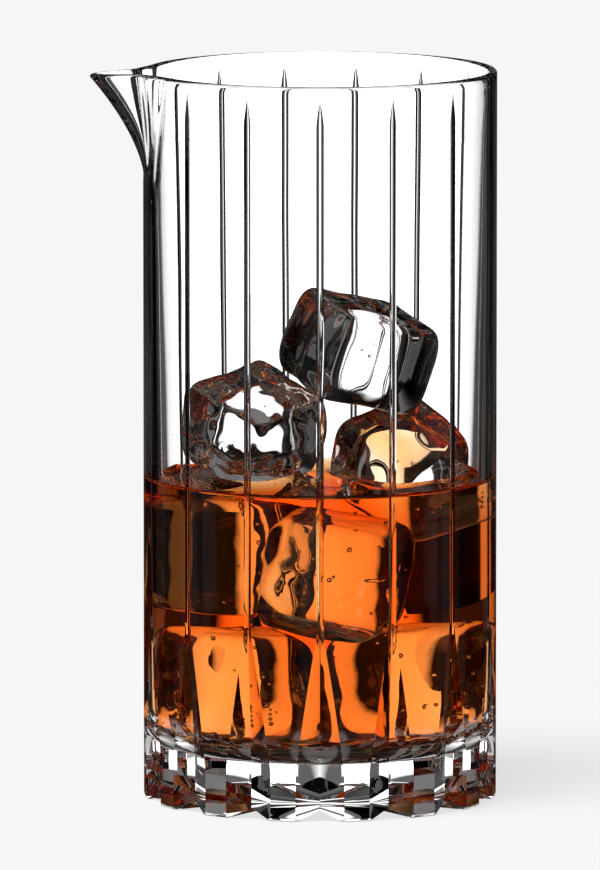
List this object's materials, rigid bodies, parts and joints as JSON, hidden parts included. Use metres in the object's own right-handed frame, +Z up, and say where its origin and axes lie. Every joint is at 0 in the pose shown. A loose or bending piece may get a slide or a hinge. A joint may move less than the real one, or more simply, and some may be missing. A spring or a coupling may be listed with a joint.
{
  "type": "cocktail pitcher",
  "caption": "Clear fluted glass mixing pitcher with a beak-shaped pouring lip, filled with an amber drink and blocks of clear ice.",
  "frame": {"origin": "centre of the foot, on the surface that the pitcher stands on", "axes": "+Z up along the axis of the body; -X towards the pouring lip; +Y to the side"},
  "size_m": [0.0962, 0.0834, 0.173],
  "materials": {
    "clear_glass": "polished",
    "amber_drink": "gloss",
    "clear_ice": "gloss"
  },
  "bodies": {
    "pitcher": {"glass_body": "clear_glass", "drink": "amber_drink", "ice_left": "clear_ice", "ice_right": "clear_ice", "ice_front": "clear_ice", "ice_back": "clear_ice", "ice_floor_left": "clear_ice", "ice_floor_right": "clear_ice"},
    "top_ice": {"ice_top": "clear_ice"}
  },
  "joints": [
    {"name": "ice_lift", "type": "slide", "parent": "pitcher", "child": "top_ice", "axis": [0, 0, 1], "range_m": [0, 0.085]}
  ]
}
